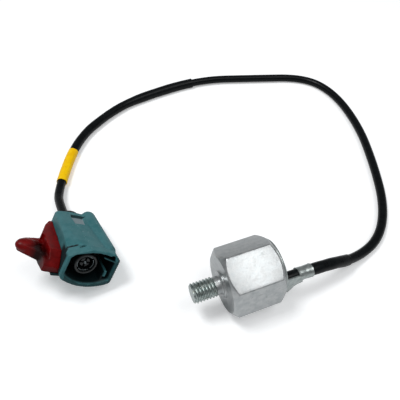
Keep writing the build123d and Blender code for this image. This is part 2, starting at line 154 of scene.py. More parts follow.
sensor_place, cover_place = about_axis(body_roll), about_axis(body_roll + strap_turn)
cable_lead, cable_end = Vector((-62.2, 82.8, 2.8)), Vector(cable_route[-1])
mating = (cable_end - cable_lead).normalized()
level_side = Vector((0, 0, 1)).cross(mating).normalized()
upright = mating.cross(level_side)
plug_roll = math.radians(36.0)
plug_top = upright * math.cos(plug_roll) + level_side * math.sin(plug_roll)
plug_side = plug_top.cross(mating)
contact_y, carrier_rear = -1.6, 24.2
rim_centre = cable_end + mating * carrier_rear - plug_side * contact_y
plug_place = frame_matrix(rim_centre, mating, plug_side, plug_top)
print("plug rim at", [round(v, 2) for v in rim_centre])

# %% [markdown]
# ## Shader node groups
# Every finish here needs the same few effects, so each is built once as a node group:
# *grain* gives soft blotches and a finer height, *flecks* sparse small marks, *wear*
# finds edges that rub bright, and *dust* settles on what faces up. They put out masks
# only, and each material decides what the masks do.

# %% Node group helpers
def paint(red, green, blue):
    """Colour as the eye names it, from 0 to 255, made linear for the shader."""
    def linear(value):
        value /= 255
        return value / 12.92 if value <= 0.04045 else ((value + 0.055) / 1.055) ** 2.4
    return (linear(red), linear(green), linear(blue), 1.0)


def add_node(tree, kind, inputs=(), **settings):
    """Add a node, set its options, and feed each input a value or a socket."""
    node = tree.nodes.new(kind)
    for key, value in settings.items():
        setattr(node, key, value)
    for key, value in dict(inputs).items():
        if isinstance(value, bpy.types.NodeSocket):
            tree.links.new(value, node.inputs[key])
        else:
            node.inputs[key].default_value = value
    return node


def new_group(name, inputs, outputs):
    """Empty shader group with named float inputs and outputs."""
    group = bpy.data.node_groups.new(name, "ShaderNodeTree")
    for label, value in inputs.items():
        socket = group.interface.new_socket(label, in_out="INPUT", socket_type="NodeSocketFloat")
        socket.default_value = value
    for label in outputs:
        group.interface.new_socket(label, in_out="OUTPUT", socket_type="NodeSocketFloat")
    return group, group.nodes.new("NodeGroupInput"), group.nodes.new("NodeGroupOutput")


def ramp(tree, value, low, high, to_low=0.0, to_high=1.0):
    """Map a value from one range to another, with its ends held."""
    node = add_node(tree, "ShaderNodeMapRange", {
        "Value": value, "From Min": low, "From Max": high,
        "To Min": to_low, "To Max": to_high}, interpolation_type="SMOOTHSTEP")
    return node.outputs["Result"]


def maths(tree, operation, first, second):
    """Result of one sum on two values or sockets."""
    return add_node(tree, "ShaderNodeMath", {0: first, 1: second}, operation=operation).outputs[0]


def noise(tree, scale, detail, roughness=0.5):
    """Noise over the piece's own coordinates."""
    place = add_node(tree, "ShaderNodeTexCoord").outputs["Object"]
    return add_node(tree, "ShaderNodeTexNoise", {
        "Vector": place, "Scale": scale, "Detail": detail, "Roughness": roughness}).outputs["Fac"]


# %% Grain, flecks, wear and dust
grain_group, source, result = new_group(
    "grain", {"Scale": 500.0, "Fine": 6.0}, ["Mask", "Height"])
fine_scale = maths(grain_group, "MULTIPLY", source.outputs["Scale"], source.outputs["Fine"])
blotch = noise(grain_group, source.outputs["Scale"], 5.0, 0.62)
fine = noise(grain_group, fine_scale, 3.0, 0.7)
grain_group.links.new(ramp(grain_group, blotch, 0.32, 0.68), result.inputs["Mask"])
grain_group.links.new(maths(grain_group, "ADD", blotch, fine), result.inputs["Height"])

fleck_group, source, result = new_group("flecks", {"Scale": 900.0, "Amount": 0.3}, ["Mask"])
cells = noise(fleck_group, source.outputs["Scale"], 2.0)
edge = maths(fleck_group, "SUBTRACT", 0.78, source.outputs["Amount"])
over = maths(fleck_group, "SUBTRACT", cells, edge)
fleck_group.links.new(ramp(fleck_group, over, 0.0, 0.08), result.inputs["Mask"])

wear_group, source, result = new_group("wear", {"Width": 0.08, "Scale": 900.0}, ["Mask"])
pointed = add_node(wear_group, "ShaderNodeNewGeometry").outputs["Pointiness"]
rubbed = noise(wear_group, source.outputs["Scale"], 4.0)
start = maths(wear_group, "SUBTRACT", 0.62, source.outputs["Width"])
sharp = maths(wear_group, "SUBTRACT", pointed, start)
broken = maths(wear_group, "MULTIPLY", ramp(wear_group, sharp, 0.0, 0.06),
               ramp(wear_group, rubbed, 0.35, 0.6))
wear_group.links.new(broken, result.inputs["Mask"])

dust_group, source, result = new_group("dust", {"Scale": 160.0, "Lowest": 0.2}, ["Mask"])
normal = add_node(dust_group, "ShaderNodeNewGeometry").outputs["Normal"]
facing = add_node(dust_group, "ShaderNodeSeparateXYZ", {"Vector": normal}).outputs["Z"]
drift = noise(dust_group, source.outputs["Scale"], 5.0, 0.6)
level = maths(dust_group, "SUBTRACT", facing, source.outputs["Lowest"])
settled = maths(dust_group, "MULTIPLY", ramp(dust_group, level, 0.0, 0.7),
                ramp(dust_group, drift, 0.3, 0.62))
dust_group.links.new(settled, result.inputs["Mask"])
print("groups", [g.name for g in bpy.data.node_groups])

# %% [markdown]
# ## Materials
# A material is a dark and a light shade mixed by the grain, with worn edges, flecks
# and dust laid over them, and a roughness that follows the same grain. What is the
# same all over a piece, such as how much it mirrors, is set on the shader itself.

# %% Material maker
def mixed(tree, mask, amount, first, second):
    """Colour between first and second, by a mask times an amount."""
    factor = maths(tree, "MULTIPLY", mask, amount)
    node = add_node(tree, "ShaderNodeMix", {0: factor, 6: first, 7: second}, data_type="RGBA")
    return node.outputs[2]


def grouped(tree, group, **inputs):
    """Place a node group in a material, with its own values."""
    return add_node(tree, "ShaderNodeGroup", inputs, node_tree=group)


def finish(name, dark, light, rough, grain, relief, strength, fine=6.0, wear=None,
           flecks=None, dust=None, marks=None, metallic=0.0, **shader):
    """Material from two shades, a roughness range, and the effects it is given.

    Each effect is a shade, what its group needs, and the share of the shade that shows:
    wear (shade, width, share), flecks (shade, scale, amount, share), dust (shade, scale,
    lowest, share), and marks {attribute: (shade, share)}.
    """
    material = bpy.data.materials.new(name)
    material.use_nodes = True
    tree = material.node_tree
    tree.nodes.clear()
    body = grouped(tree, grain_group, Scale=grain, Fine=fine)
    colour = mixed(tree, body.outputs["Mask"], 1.0, dark, light)
    if flecks:
        shade, scale, amount, share = flecks
        spots = grouped(tree, fleck_group, Scale=scale, Amount=amount)
        colour = mixed(tree, spots.outputs["Mask"], share, colour, shade)
    if wear:
        shade, width, share = wear
        rub = grouped(tree, wear_group, Width=width)
        colour = mixed(tree, rub.outputs["Mask"], share, colour, shade)
    if dust:
        shade, scale, lowest, share = dust
        film = grouped(tree, dust_group, Scale=scale, Lowest=lowest)
        colour = mixed(tree, film.outputs["Mask"], share, colour, shade)
    for mark, (shade, share) in (marks or {}).items():
        where = add_node(tree, "ShaderNodeAttribute", attribute_name=mark)
        colour = mixed(tree, where.outputs["Fac"], share, colour, shade)
    bump = add_node(tree, "ShaderNodeBump", {
        "Strength": strength, "Distance": relief * MM, "Height": body.outputs["Height"]})
    gloss = ramp(tree, body.outputs["Height"], 0.75, 1.25, rough[0], rough[1])
    surface = add_node(tree, "ShaderNodeBsdfPrincipled", {
        "Base Color": colour, "Roughness": gloss, "Normal": bump.outputs["Normal"],
        "Metallic": metallic, **shader})
    out = add_node(tree, "ShaderNodeOutputMaterial")
    tree.links.new(surface.outputs[0], out.inputs["Surface"])
    return material


# %% [markdown]
# The body is steel with bright zinc over it: a satin metal with cloudy patches, small
# stains, and edges where the plating is polished. The stud is the same plating seen in
# oily thread grooves. The strap is thin spring steel, greyer and smoother.

# %% Metals
zinc = finish(
    "zinc_plated_steel", paint(166, 170, 171), paint(190, 192, 192), (0.28, 0.44), grain=420,
    fine=7, relief=0.03, strength=0.25, wear=(paint(205, 210, 210), 0.05, 0.7),
    flecks=(paint(118, 124, 122), 700, 0.14, 0.35), metallic=1.0)
thread_steel = finish(
    "threaded_zinc", paint(146, 158, 156), paint(186, 193, 190), (0.24, 0.4), grain=900,
    relief=0.02, strength=0.3, wear=(paint(214, 218, 212), 0.04, 0.8),
    flecks=(paint(92, 92, 70), 600, 0.18, 0.5), metallic=1.0)
spring_steel = finish(
    "spring_steel", paint(152, 160, 159), paint(180, 186, 184), (0.26, 0.42), grain=600,
    relief=0.02, strength=0.25, wear=(paint(205, 208, 206), 0.05, 0.6),
    flecks=(paint(104, 108, 100), 800, 0.15, 0.4), metallic=1.0)
contact_metal = finish(
    "contact_metal", paint(78, 86, 88), paint(112, 120, 122), (0.28, 0.42), grain=1200,
    relief=0.01, strength=0.2, wear=(paint(150, 156, 156), 0.05, 0.4), metallic=1.0)

# %% [markdown]
# Rubber and plastic: the cable is near-black with a soft blue-green sheen, the sleeves
# the same with a coarser grain, the plug a teal plastic that has gone grey with handling,
# and the lock a deep red. These and the yellow tape have a matt skin that mirrors little.
# Two marks are set on the plug's and the lock's vertices further on: painted shade, almost
# black, in their hollows, gaps and the rim's lower face, and a paler floor in the window.

# %% Rubbers and plastics
matt_skin = {"Specular IOR Level": 0.16}
cable_rubber = finish(
    "cable_rubber", paint(1, 3, 5), paint(5, 10, 13), (0.26, 0.38), grain=500, fine=5,
    relief=0.05, strength=0.35, flecks=(paint(44, 50, 54), 1100, 0.08, 0.2), **matt_skin)
sleeve_rubber = finish(
    "sleeve_rubber", paint(1, 3, 5), paint(6, 11, 14), (0.26, 0.38), grain=380, fine=5,
    relief=0.07, strength=0.4, **matt_skin)
seal_rubber = finish(
    "seal_rubber", paint(30, 32, 34), paint(48, 50, 52), (0.55, 0.75), grain=800,
    relief=0.04, strength=0.3)
tape_vinyl = finish(
    "tape_vinyl", paint(240, 186, 0), paint(252, 206, 4), (0.32, 0.46), grain=260, fine=9,
    relief=0.05, strength=0.35, flecks=(paint(200, 148, 10), 500, 0.14, 0.4), **matt_skin)
plug_plastic = finish(
    "plug_plastic", paint(44, 100, 105), paint(60, 112, 117), (0.42, 0.58), grain=330,
    fine=8, relief=0.04, strength=0.3, wear=(paint(112, 148, 150), 0.05, 0.6),
    dust=(paint(100, 130, 134), 170, 0.15, 0.2), flecks=(paint(92, 120, 124), 900, 0.12, 0.3),
    # The first mark is painted shade in the plug's hollows and gaps and on its rim's lower face.
    marks={"painted_shade": (paint(4, 10, 12), 0.96), "pale": (paint(128, 140, 145), 0.85)},
    **matt_skin)
lock_plastic = finish(
    "lock_plastic", paint(94, 2, 3), paint(116, 4, 5), (0.3, 0.46), grain=400,
    relief=0.04, strength=0.3, wear=(paint(150, 40, 34), 0.05, 0.35),
    # The mark is painted shade in the lock's pocket and under it.
    marks={"painted_shade": (paint(12, 0, 0), 0.96)}, **matt_skin)
carrier_plastic = finish(
    "carrier_plastic", paint(8, 12, 13), paint(18, 23, 25), (0.36, 0.52), grain=700,
    relief=0.03, strength=0.25, wear=(paint(98, 104, 106), 0.05, 0.6))
resin = finish(
    "insulating_resin", paint(56, 44, 34), paint(84, 66, 48), (0.3, 0.5), grain=500,
    relief=0.05, strength=0.3, flecks=(paint(140, 120, 92), 700, 0.12, 0.4))
ceramic = finish(
    "ceramic", paint(212, 204, 188), paint(232, 226, 212), (0.4, 0.6), grain=900,
    relief=0.02, strength=0.2)
print("materials", len(bpy.data.materials))

# %% [markdown]
# ## Finishing pieces
# A new piece is modelled in millimetres in its own frame. Here it is put in its place
# in the mesh itself, given its finish and tied to the sensor's one body, and the CAD
# nodes it stands for are hidden.

# %% Piece maker
def settle(name, bm, place, material, replaced, smooth):
    """Turn a bmesh in mm into a finished piece at its place."""
    bm.transform(Matrix.Scale(MM, 4) @ place)
    bmesh.ops.recalc_face_normals(bm, faces=bm.faces)
    mesh = bpy.data.meshes.new(name)
    bm.to_mesh(mesh)
    bm.free()
    piece = bpy.data.objects.new(name, mesh)
    scene.collection.objects.link(piece)
    dress(piece, material, replaced, smooth)
    return piece


def dress(piece, material, replaced, smooth=0):
    """Give a piece its finish and its body, and hide the CAD nodes it stands for."""
    piece.data.materials.clear()
    piece.data.materials.append(material)
    if piece.type == "MESH":
        piece.data.shade_smooth()
        if smooth:
            piece.data.set_sharp_from_angle(angle=math.radians(smooth))
    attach(piece, "root")
    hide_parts(*replaced)
    print(piece.name, len(getattr(piece.data, "polygons", ())), "faces")


dress(cable_jacket, cable_rubber, ["cable"])

# %% [markdown]
# ## Rings
# The body, sleeves and tape are all stacks of rings: one ring is extruded to the next,
# and each vertex is set to the radius asked for at its angle. A radius that changes
# with the angle turns a circle into a hexagon, or a tape into a spiral.

# %% Ring stack
def next_ring(bm, edges, unit):
    """Extrude a ring's edges, and hand on each vertex's place on the unit circle."""
    grown = bmesh.ops.extrude_edge_only(bm, edges=edges)["geom"]
    fresh = {g for g in grown if isinstance(g, bmesh.types.BMVert)}
    edges = [g for g in grown if isinstance(g, bmesh.types.BMEdge)
             and g.verts[0] in fresh and g.verts[1] in fresh]
    unit = {v: unit[next(e.other_vert(v) for e in v.link_edges if e.other_vert(v) in unit)]
            for v in fresh}
    return edges, unit


def ring_stack(rings, sides, closed=False):
    """Skin through rings given as (frame, radius or function of angle)."""
    bm = bmesh.new()
    circle = bmesh.ops.create_circle(bm, cap_ends=False, segments=sides, radius=1.0)["verts"]
    unit = {v: v.co.copy() for v in circle}
    edges = list(bm.edges)
    first_edges = list(edges)
    for number, (place, radius) in enumerate(rings):
        if number:
            edges, unit = next_ring(bm, edges, unit)
        for v, co in unit.items():
            angle = math.atan2(co.y, co.x)
            size = radius(angle) if callable(radius) else radius
            v.co = place @ Vector((co.x * size, co.y * size, 0))
    if closed:
        bmesh.ops.bridge_loops(bm, edges=first_edges + edges)
    else:
        bmesh.ops.holes_fill(bm, edges=first_edges + edges, sides=0)
    bmesh.ops.recalc_face_normals(bm, faces=bm.faces)
    return bm


def at_axis(x, y=0.0, z=0.0):
    """Ring frame square to an axis along X, with angles counted from +Y to +Z."""
    return frame_matrix(Vector((x, y, z)), Vector((0, 1, 0)), Vector((0, 0, 1)),
                        Vector((1, 0, 0)))


# %% [markdown]
# ## Hexagonal body
# The real body is cut from hexagon bar and turned at both ends, which leaves the
# curved chamfer lines on its flats. The ring beside each end follows the hexagon and
# steps back by the chamfer's slope, so those curves come out by themselves. Then the
# corners and the chamfer lines are bevelled like tumbled, plated steel. The rings are
# given from each end, and a hair's breadth keeps the two rings at an end apart.

# %% Hexagon
across_flats, body_length = 24.0, 21.3
chamfer_radius, chamfer_slope = 11.4, math.tan(math.radians(39.0))
front, rear = -body_length / 2, body_length / 2
hex_sides, hair = 96, 0.0001
edge_round, sharp_turn = 0.32, math.radians(17)
front_rings = [
    (-2.9, 3.0), (-2.9, 3.55), (-1.05, 3.6), (-0.78, 3.8), (-0.7, 4.1), (-0.7, 4.85),
    (-0.62, 5.05), (-0.45, 5.2), (-0.12, 5.2), (0.0, 5.35), (0.0, 8.0), (0.0, chamfer_radius)]
rear_rings = [(0.0, chamfer_radius), (0.0, 9.0), (-1.2, 9.0)]


def hexagon(angle):
    """Radius of the hexagon at an angle from a corner."""
    return across_flats / 2 / math.cos(angle % (math.pi / 3) - math.pi / 6)


def stepped(bm, level, direction):
    """Move the rings that follow the hexagon back along its end chamfers."""
    for v in bm.verts:
        reach = math.hypot(v.co.y, v.co.z)
        if abs(v.co.x - level) < 1e-5 and reach > chamfer_radius + 0.2:
            v.co.x += direction * (reach - chamfer_radius) * chamfer_slope


body = ring_stack([
    *((at_axis(front + x), radius) for x, radius in front_rings),
    (at_axis(front + hair), hexagon), (at_axis(rear - hair), hexagon),
    *((at_axis(rear + x), radius) for x, radius in rear_rings),
], hex_sides)
stepped(body, front + hair, 1)
stepped(body, rear - hair, -1)
body.normal_update()
sharp_edges = [e for e in body.edges
               if e.is_manifold and e.calc_face_angle() > sharp_turn
               and max(math.hypot(v.co.y, v.co.z) for v in e.verts) > chamfer_radius + 0.3]
bmesh.ops.bevel(body, geom=sharp_edges, offset=edge_round, offset_type="OFFSET", segments=3,
                profile=0.5, affect="EDGES", material=-1, clamp_overlap=True)
settle("hex_body", body, sensor_place, zinc, ["sensor_housing"], smooth=24)

# %% [markdown]
# ## Threaded stud
# A real thread is one groove that climbs as it goes round. The outline of one crest
# after another is spun once about the axis while it moves on by one pitch, so each
# crest joins the next. Both ends are cut square and closed, and the radius is held
# under a cone at the tip and at the neck, as the die leaves it.

# %% Thread
pitch, crest, root = 1.25, 4.0, 3.42
stud_tip, thread_end = front - 12.0, front - 2.75
tip_radius, tip_slope = 3.45, 0.9
neck_radius, neck_slope = 3.5, 1.1
turn_steps = 64
flank = 0.5 * (root + crest)
one_turn = [(0.0, root), (0.14, root), (0.3, flank), (0.44, crest - 0.04), (0.5, crest),
            (0.56, crest - 0.04), (0.7, flank), (0.86, root)]
thread = bmesh.new()
outline = []
x = stud_tip - 2 * pitch
while x < thread_end + 2 * pitch:
    outline += [thread.verts.new((x + share * pitch, radius, 0)) for share, radius in one_turn]
    x += pitch
chain = [thread.edges.new(pair) for pair in zip(outline, outline[1:])]
bmesh.ops.spin(thread, geom=outline + chain, cent=(0, 0, 0), axis=(1, 0, 0),
               dvec=(pitch / turn_steps, 0, 0), angle=2 * math.pi, steps=turn_steps,
               use_duplicate=False)
bmesh.ops.remove_doubles(thread, verts=thread.verts, dist=1e-3)
for cut, way in ((stud_tip, -1), (thread_end, 1)):
    bmesh.ops.bisect_plane(
        thread, geom=[*thread.verts, *thread.edges, *thread.faces], dist=1e-5,
        plane_co=(cut, 0, 0), plane_no=(way, 0, 0), clear_outer=True)
rims = [e for e in thread.edges if e.is_boundary]
bmesh.ops.holes_fill(thread, edges=rims, sides=0)
for v in thread.verts:
    reach = math.hypot(v.co.y, v.co.z)
    limit = min(tip_radius + (v.co.x - stud_tip) * tip_slope,
                neck_radius + max(thread_end - 0.2 - v.co.x, 0) * neck_slope)
    if reach > limit:
        v.co.y *= limit / reach
        v.co.z *= limit / reach
settle("stud_thread", thread, sensor_place, thread_steel,
       ["sensor_housing"], smooth=30)

# %% [markdown]
# ## Rear cover, strap and clamp
# The cover is a pressed disc with a rolled edge, made by spinning its outline. The
# strap is sheet: its flat outline is cut where the fold will be, folded over a small
# radius, and only then given its thickness.

# %% Cover disc
def turned(outline, steps):
    """Spin an outline of (x, radius) pairs about the sensor's axis."""
    bm = bmesh.new()
    points = [bm.verts.new((x, radius, 0)) for x, radius in outline]
    lines = [bm.edges.new(pair) for pair in zip(points, points[1:])]
    bmesh.ops.spin(bm, geom=points + lines, cent=(0, 0, 0), axis=(1, 0, 0), dvec=(0, 0, 0),
                   angle=2 * math.pi, steps=steps, use_merge=True, use_duplicate=False)
    bmesh.ops.remove_doubles(bm, verts=bm.verts, dist=1e-4)
    bmesh.ops.recalc_face_normals(bm, faces=bm.faces)
    return bm


sheet = 0.6
disc = turned([
    (rear - 1.0, 0), (rear - 1.0, 8.8), (rear - 0.85, 8.95), (rear, 8.95), (rear, 11.0),
    (rear + 0.25, 11.12), (rear + 0.6, 11.08), (rear + 0.9, 10.8), (rear + 1.1, 10.3),
    (rear + 1.15, 9.9), (rear + sheet, 9.5), (rear + sheet, 0)], 96)
settle("cover_disc", disc, cover_place, spring_steel, ["rear_cover"], smooth=40)

# %% Strap
wire_out = 5.5
clamp_start, clamp_length, clamp_radius = 18.35, 6.2, 3.0
strap_y = sheet / 2 - wire_out - clamp_radius
fold, fold_steps = 0.9, 8
foot_gap, foot_length = 0.08, 3.0
fold_start = rear + sheet / 2 + fold
tail = fold * math.pi / 2 + foot_length
blank = bmesh.new()
corners = [
    (fold_start - tail, -0.3), (clamp_start - 1, -0.5), (clamp_start + 1.2, -1.4),
    (clamp_start + 1.2, -4.6), (clamp_start - 1, -4.9), (clamp_start - 2.6, -5.5),
    (clamp_start - 3.8, -6.8), (clamp_start - 4.9, -7.6), (fold_start - tail + 1.5, -7.6),
    (fold_start - tail, -6.0),
]
blank.faces.new([blank.verts.new((x, 0, z)) for x, z in corners])
for step in range(fold_steps + 1):
    bmesh.ops.bisect_plane(
        blank, geom=[*blank.verts, *blank.edges, *blank.faces], dist=1e-5,
        plane_co=(fold_start - step * fold * math.pi / 2 / fold_steps, 0, 0),
        plane_no=(1, 0, 0))
for v in blank.verts:
    before = fold_start - v.co.x
    if before > 0:
        angle = min(before / fold, math.pi / 2)
        rest = max(before - fold * math.pi / 2, 0)
        v.co.x = fold_start - fold * math.sin(angle) + foot_gap * (angle > 1.5)
        v.co.y = fold * (1 - math.cos(angle)) + rest
    v.co.y += strap_y
bmesh.ops.recalc_face_normals(blank, faces=blank.faces)
bmesh.ops.solidify(blank, geom=list(blank.faces), thickness=sheet)
outer_edges = [e for e in blank.edges if e.is_manifold and e.calc_face_angle() > 1.2]
bmesh.ops.bevel(blank, geom=outer_edges, offset=0.12, offset_type="OFFSET", segments=2,
                profile=0.5, affect="EDGES", material=-1, clamp_overlap=True)
settle("cover_strap", blank, cover_place, spring_steel, ["rear_cover"],
       smooth=30)

# %% [markdown]
# The clamp is the strap's end rolled round the sleeve. It follows the cable, its two
# lips nearly meet in a seam, and its ends are belled so they don't cut the rubber.
# Lengths along the cable count from where it starts, 12.05 mm behind the hexagon's
# middle.

# %% Clamp
def rolled(start, end, stations, inner, wall, turn, bell):
    """Rolled tube with an open seam, along the cable."""
    bm = bmesh.new()
    arc = bmesh.ops.create_circle(bm, cap_ends=False, segments=44, radius=1.0)["verts"]
    unit = {v: v.co.copy() for v in arc}
    seam = [e for e in bm.edges if all(v.co.x > 0.96 for v in e.verts) and
            min(v.co.y for v in e.verts) * max(v.co.y for v in e.verts) <= 0]
    bmesh.ops.delete(bm, geom=seam[:1], context="EDGES")
    edges = list(bm.edges)
    for number in range(stations + 1):
        share = number / stations
        place = along_cable(start + (end - start) * share)
        if number:
            edges, unit = next_ring(bm, edges, unit)
        crimp = 0.1 * math.exp(-((share - 0.5) / 0.12) ** 2)
        size = inner + wall / 2 + bell * (2 * abs(share - 0.5)) ** 8 - crimp
        for v, co in unit.items():
            angle = math.atan2(co.y, co.x) + turn
            v.co = place @ Vector((math.cos(angle) * size, math.sin(angle) * size, 0))
    bmesh.ops.recalc_face_normals(bm, faces=bm.faces)
    bmesh.ops.solidify(bm, geom=list(bm.faces), thickness=wall)
    return bm


cable_start, sleeve_radius = 12.05, 2.4
clamp_from = clamp_start - cable_start
clamp = rolled(clamp_from, clamp_from + clamp_length, stations=14, inner=sleeve_radius,
               wall=0.55, turn=math.radians(200), bell=0.14)
settle("cable_clamp", clamp, Matrix.Identity(4), spring_steel, ["rear_cover"],
       smooth=40)

# %% [markdown]
# ## Sleeves and tape
# Two rubber sleeves slide over the cable. Each is a stack of rings along it that goes
# out over the surface and back along the bore. Where the long sleeve and the tape start
# is known on the CAD's route, and is scaled to the drawn line. The tape is wound flat, so
# its radius grows slowly round the cable and drops again at the free edge.

# %% Sleeves
sleeve_scale = line_end / cable_length
sleeve_start = 245.5 * sleeve_scale
tape_start, tape_length = 332.0 * sleeve_scale, 21.5
lip, lip_drop = 0.12, 0.15


def sleeve(name, start, end, outer, spacing, node):
    """Soft tube over the cable, closed at its two ends."""
    count = max(3, round((end - start) / spacing))
    stations = [start + (end - start) * i / count for i in range(count + 1)]
    rings = [(along_cable(start), cable_radius), (along_cable(start), outer(start) - lip_drop)]
    rings += [(along_cable(start + lip), outer(start + lip))]
    rings += [(along_cable(s), outer(s)) for s in stations[1:-1]]
    rings += [(along_cable(end - lip), outer(end - lip))]
    rings += [(along_cable(end), outer(end) - lip_drop)]
    rings += [(along_cable(s), cable_radius) for s in reversed(stations[1:])]
    bm = ring_stack(rings, 32, closed=True)
    return settle(name, bm, Matrix.Identity(4), sleeve_rubber, [node], smooth=50)


def clamp_sleeve_radius(s):
    """Radius of the short sleeve: a little uneven, and pinched under the clamp."""
    pinch = 0.12 * math.exp(-((s - clamp_from - clamp_length / 2) / 1.2) ** 2)
    return sleeve_radius + 0.03 * math.sin(s * 0.9) - pinch


def plug_sleeve_radius(s):
    """Radius of the long sleeve: thicker over its first 36 mm, thinner past the tape."""
    flare = 0.12 * math.exp(-((s - line_end + 12.0) / 2.6) ** 2)
    thick = 0.34 / (1.0 + math.exp((s - sleeve_start - 36.0) / 3.0))
    neck = 0.22 / (1.0 + math.exp((tape_start + tape_length - s) / 1.2))
    return 2.22 + 0.03 * math.sin(s * 0.37) + 0.02 * math.sin(s * 1.31) + flare + thick - neck


rubber_sleeve = sleeve("rubber_sleeve", start=0.0, end=33.2, outer=clamp_sleeve_radius,
                       spacing=1.0, node="clamp_sleeve")
long_sleeve = sleeve("long_sleeve", start=sleeve_start, end=line_end - 7.0,
                     outer=plug_sleeve_radius, spacing=1.5, node="plug_sleeve")

# %% Tape
tape_radius, tape_rise, tape_bore, tape_steps = 2.34, 0.2, 2.2, 20


def tape_rings():
    """Rings of the tape: out over its surface and back under it."""
    def lap(angle):
        return tape_radius + tape_rise * ((angle - 0.9) % (2 * math.pi)) / (2 * math.pi)
    places = [along_cable(tape_start + tape_length * i / tape_steps)
              for i in range(tape_steps + 1)]
    outer = []
    for i, place in enumerate(places):
        crease = 0.02 * math.sin(i * 2.1)
        outer.append((place, lambda angle, crease=crease:
                      lap(angle) + crease * math.sin(3 * angle)))
    return outer + [(place, tape_bore) for place in reversed(places)]


tape_wrap = settle("tape_wrap", ring_stack(tape_rings(), 48, closed=True), Matrix.Identity(4),
                   tape_vinyl, ["tape_band"], smooth=40)

# %% [markdown]
# ## Moulded pieces
# Moulded plastic has no sharp edge anywhere: every corner is rounded by the tool. The
# plug's CAD solid is copied, welded, cut and added to, then rebuilt as an even skin of
# small squares and relaxed, which rounds outer and inner corners alike.

# %% Soft copy
def moulded(name, node, material, voxel, relax, cuts=(), extras=(), marks=None):
    """Copy of a CAD node with extra cuts and solids, its edges softened."""
    bm = bmesh.new()
    bm.from_mesh(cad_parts[node].data)
    bmesh.ops.remove_doubles(bm, verts=bm.verts, dist=2e-6)
    mesh = bpy.data.meshes.new(name)
    bm.to_mesh(mesh)
    bm.free()
    piece = bpy.data.objects.new(name, mesh)
    scene.collection.objects.link(piece)
    helpers = []
    for kind, tools in (("DIFFERENCE", cuts), ("UNION", extras)):
        for number, tool in enumerate(tools):
            tool.transform(Matrix.Scale(MM, 4) @ plug_place)
            tool.normal_update()
            bmesh.ops.recalc_face_normals(tool, faces=tool.faces)
            tool_mesh = bpy.data.meshes.new("tool")
            tool.to_mesh(tool_mesh)
            tool.free()
            helper = bpy.data.objects.new(f"{name}_tool_{kind}_{number}", tool_mesh)
            scene.collection.objects.link(helper)
            cutter = piece.modifiers.new("tool", "BOOLEAN")
            cutter.operation, cutter.object, cutter.solver = kind, helper, "EXACT"
            helpers.append(helper)
    skin = piece.modifiers.new("skin", "REMESH")
    skin.mode, skin.voxel_size, skin.adaptivity = "VOXEL", voxel * MM, 0.0
    soften = piece.modifiers.new("soften", "SMOOTH")
    soften.factor, soften.iterations = 0.5, relax
    graph = bpy.context.evaluated_depsgraph_get()
    made = bpy.data.meshes.new_from_object(piece.evaluated_get(graph))
    piece.modifiers.clear()
    piece.data = made
    made.name = name
    for helper in helpers:
        bpy.data.objects.remove(helper)
    to_plug = plug_place.inverted()
    points = [to_plug @ (v.co / MM) for v in made.vertices]
    for mark, rule in (marks or {}).items():
        shade = made.attributes.new(mark, "FLOAT", "POINT")
        shade.data.foreach_set("value", [rule(point) for point in points])
    dress(piece, material, [node])
    return piece


def block(x, y, z, size, turn=0.0):
    """Block in the plug's frame, turned about the plug's long axis."""
    bm = bmesh.new()
    bmesh.ops.create_cube(bm, size=1.0)
    bmesh.ops.scale(bm, vec=size, verts=bm.verts)
    bmesh.ops.rotate(bm, verts=bm.verts, cent=(0, 0, 0),
                     matrix=Matrix.Rotation(math.radians(turn), 3, "X"))
    bmesh.ops.translate(bm, vec=(x, y, z), verts=bm.verts)
    return bm


def ball(x, y, z, radii):
    """Ellipsoid in the plug's frame."""
    bm = bmesh.new()
    bmesh.ops.create_uvsphere(bm, u_segments=32, v_segments=20, radius=1.0)
    bmesh.ops.scale(bm, vec=radii, verts=bm.verts)
    bmesh.ops.translate(bm, vec=(x, y, z), verts=bm.verts)
    return bm


def pin_tool(x, y, z, radius, length):
    """Round bar along the plug's long axis."""
    bm = bmesh.new()
    bmesh.ops.create_cone(bm, cap_ends=True, segments=32, radius1=radius, radius2=radius,
                          depth=length, matrix=at_axis(x, y, z))
    return bm


# %% [markdown]
# The hood's mouth widens towards its rim, whose two upper corners are cut off at a
# slant. The rail is hollow at its open end, with a thin web between that hollow and the
# hood, and a key rib stands on the hood's floor. Behind the rim band a groove crosses
# the slanted corner, and a window near the rear shows a paler floor.

# %% Plug housing
rim_outline = [
    (-9.75, 3.2), (-9.2, 3.9), (-5.2, 5.85), (-2.0, 6.8), (1.0, 7.15), (4.5, 6.9), (7.2, 6.1),
    (9.6, 4.1), (9.75, 3.0), (9.75, -5.0), (8.6, -6.3), (4.5, -7.9), (0.0, -8.35), (-4.5, -7.9),
    (-8.6, -6.3), (-9.75, -5.0)]
throat_outline = [
    (-8.6, 3.0), (-8.2, 3.7), (-5.2, 5.4), (-2.0, 6.2), (1.0, 6.3), (4.5, 5.8), (7.2, 4.9),
    (8.5, 3.9), (8.9, 3.0), (8.9, -4.0), (8.0, -4.9), (4.5, -6.9), (0.0, -7.6), (-4.5, -6.9),
    (-8.0, -4.9), (-8.6, -4.0)]


def funnel(near_x, near_outline, far_x, far_outline):
    """Solid between two outlines across the plug."""
    bm = bmesh.new()
    near, far = ([bm.verts.new((x, y, z)) for y, z in outline]
                 for x, outline in ((near_x, near_outline), (far_x, far_outline)))
    bm.faces.new(near)
    bm.faces.new(far)
    for i in range(len(near)):
        j = (i + 1) % len(near)
        bm.faces.new((near[i], near[j], far[j], far[i]))
    return bm


def held(value):
    """Value held between 0 and 1."""
    return max(0.0, min(1.0, value))


def above_slant(point):
    """Height of a point over the plug's slanted upper corner on the lock's side."""
    return (point.z - 4.1 - (point.y + 10.55) * 0.485) * 0.9


